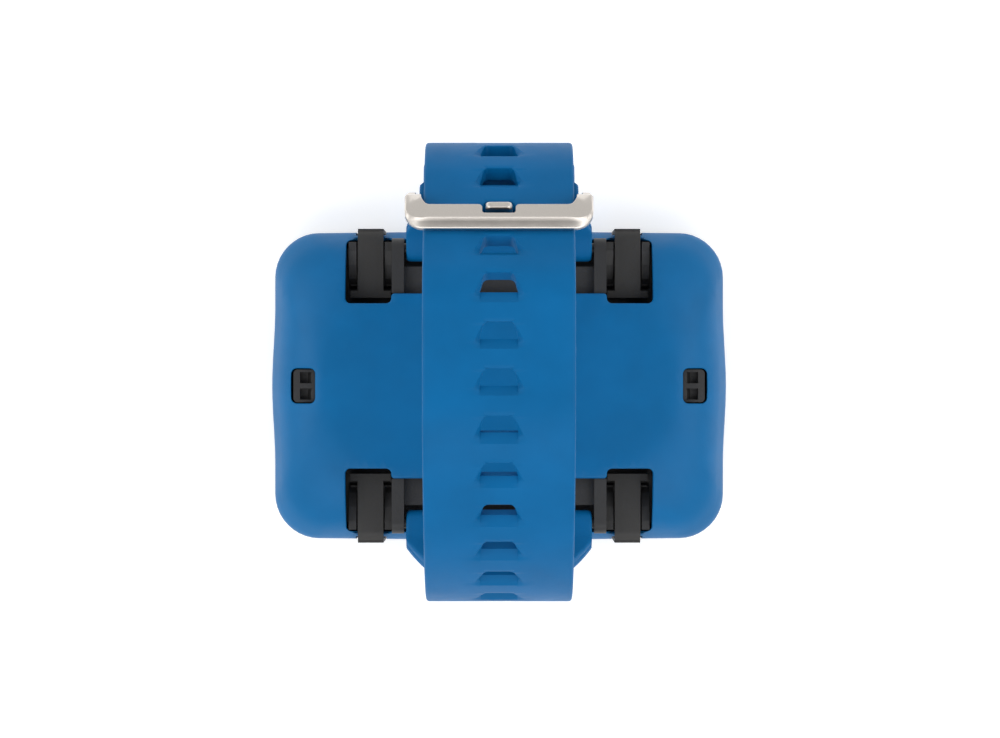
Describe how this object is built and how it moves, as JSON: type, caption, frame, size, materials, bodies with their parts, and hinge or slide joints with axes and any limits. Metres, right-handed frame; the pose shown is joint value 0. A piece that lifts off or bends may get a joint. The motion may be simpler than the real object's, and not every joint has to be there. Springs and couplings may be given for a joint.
{
  "type": "dive computer",
  "caption": "Wrist dive computer lying face down: rounded rectangular case with a coloured back cover, buckled rubber strap loop, steel buckle and black guard tabs.",
  "frame": {"origin": "centre of the case on the plane of the front rim, on which the object lies face down", "axes": "+X along the case, +Y towards the buckle side, +Z out of the back of the case towards the wrist"},
  "size_m": [0.0974, 0.0944, 0.0841],
  "materials": {
    "cover_plastic": "satin moulded blue, very fine texture",
    "strap_rubber": "smooth matte blue silicone",
    "keeper_rubber": "smooth matte blue silicone",
    "bar_steel": "blackened stainless",
    "guard_rubber": "matte black elastomer",
    "housing_plastic": "fine moulded black",
    "bezel_plastic": "satin black",
    "window_glass": "polished, display off",
    "seal_rubber": "smooth",
    "buckle_steel": "brushed stainless with a polished bevel",
    "button_steel": "satin stainless",
    "fastener_steel": "turned stainless",
    "chassis_alloy": "as machined",
    "display_panel": "dark panel",
    "board": "solder mask",
    "cell_foil": "foil pouch",
    "foam": "foam tape",
    "copper": "enamelled copper",
    "brass": "plated"
  },
  "bodies": {
    "root": {"front_guard": "guard_rubber", "front_bezel": "bezel_plastic", "display_window": "window_glass", "rear_housing": "housing_plastic", "rear_cover": "cover_plastic", "strap_bar_top": "bar_steel", "strap_bar_bottom": "bar_steel", "bar_screws": "bar_steel", "window_gasket": "seal_rubber", "button_plate": "bezel_plastic", "housing_seal": "seal_rubber", "housing_screws": "fastener_steel", "inner_chassis": "chassis_alloy", "display_module": "display_panel", "circuit_board": "board", "battery_pad": "foam", "battery_cell": "cell_foil", "pressure_sensor": "fastener_steel", "sensor_cap": "housing_plastic", "antenna_coil": "copper", "sounder": "brass", "data_contacts": "brass", "button_seals": "seal_rubber", "spring_left": "fastener_steel", "spring_centre": "fastener_steel", "spring_right": "fastener_steel"},
    "strap_loop": {"strap_short": "strap_rubber", "strap_long": "strap_rubber", "buckle_pin": "fastener_steel"},
    "buckle_frame": {"buckle_frame": "buckle_steel"},
    "buckle_tongue": {"buckle_tongue": "buckle_steel"},
    "keeper": {"keeper": "keeper_rubber"},
    "button_left": {"button_left": "button_steel", "clip_left": "fastener_steel"},
    "button_centre": {"button_centre": "button_steel", "clip_centre": "fastener_steel"},
    "button_right": {"button_right": "button_steel", "clip_right": "fastener_steel"},
    "tab_top_left": {"tab_top_left": "guard_rubber"},
    "tab_top_right": {"tab_top_right": "guard_rubber"},
    "tab_bottom_left": {"tab_bottom_left": "guard_rubber"},
    "tab_bottom_right": {"tab_bottom_right": "guard_rubber"}
  },
  "joints": [
    {"name": "strap_flex", "type": "hinge", "parent": "root", "child": "strap_loop", "pos_m": [0, 0.0293, 0.022], "axis": [1, 0, 0], "range_deg": [-6, 6], "stiffness_Nm_per_rad": 1.5, "deforming": ["strap_long"]},
    {"name": "buckle_frame_hinge", "type": "hinge", "parent": "strap_loop", "child": "buckle_frame", "pos_m": [0, 0.0376, 0.0619], "axis": [1, 0, 0], "range_deg": [-1.5, 1.5]},
    {"name": "buckle_tongue_hinge", "type": "hinge", "parent": "strap_loop", "child": "buckle_tongue", "pos_m": [0, 0.0376, 0.0619], "axis": [1, 0, 0], "range_deg": [-4, 0]},
    {"name": "keeper_slide", "type": "slide", "parent": "strap_loop", "child": "keeper", "axis": [0, 0.4772, 0.8788], "range_m": [-0.0008, 0.0016]},
    {"name": "button_left_press", "type": "slide", "parent": "root", "child": "button_left", "axis": [0, 0, 1], "range_m": [0, 0.0012], "stiffness_N_per_m": 900, "springref_m": -0.0005, "deforming": ["spring_left"]},
    {"name": "button_centre_press", "type": "slide", "parent": "root", "child": "button_centre", "axis": [0, 0, 1], "range_m": [0, 0.0012], "stiffness_N_per_m": 900, "springref_m": -0.0005, "deforming": ["spring_centre"]},
    {"name": "button_right_press", "type": "slide", "parent": "root", "child": "button_right", "axis": [0, 0, 1], "range_m": [0, 0.0012], "stiffness_N_per_m": 900, "springref_m": -0.0005, "deforming": ["spring_right"]},
    {"name": "tab_top_left_hinge", "type": "hinge", "parent": "root", "child": "tab_top_left", "pos_m": [-0.0276, 0.0325, 0.0018], "axis": [-1, 0, 0], "range_deg": [0, 90], "stiffness_Nm_per_rad": 0.002, "springref_deg": -11.46},
    {"name": "tab_top_right_hinge", "type": "hinge", "parent": "root", "child": "tab_top_right", "pos_m": [0.0276, 0.0325, 0.0018], "axis": [-1, 0, 0], "range_deg": [0, 90], "stiffness_Nm_per_rad": 0.002, "springref_deg": -11.46},
    {"name": "tab_bottom_left_hinge", "type": "hinge", "parent": "root", "child": "tab_bottom_left", "pos_m": [-0.0276, -0.0325, 0.0018], "axis": [1, 0, 0], "range_deg": [0, 90], "stiffness_Nm_per_rad": 0.002, "springref_deg": -11.46},
    {"name": "tab_bottom_right_hinge", "type": "hinge", "parent": "root", "child": "tab_bottom_right", "pos_m": [0.0276, -0.0325, 0.0018], "axis": [1, 0, 0], "range_deg": [0, 90], "stiffness_Nm_per_rad": 0.002, "springref_deg": -11.46}
  ]
}
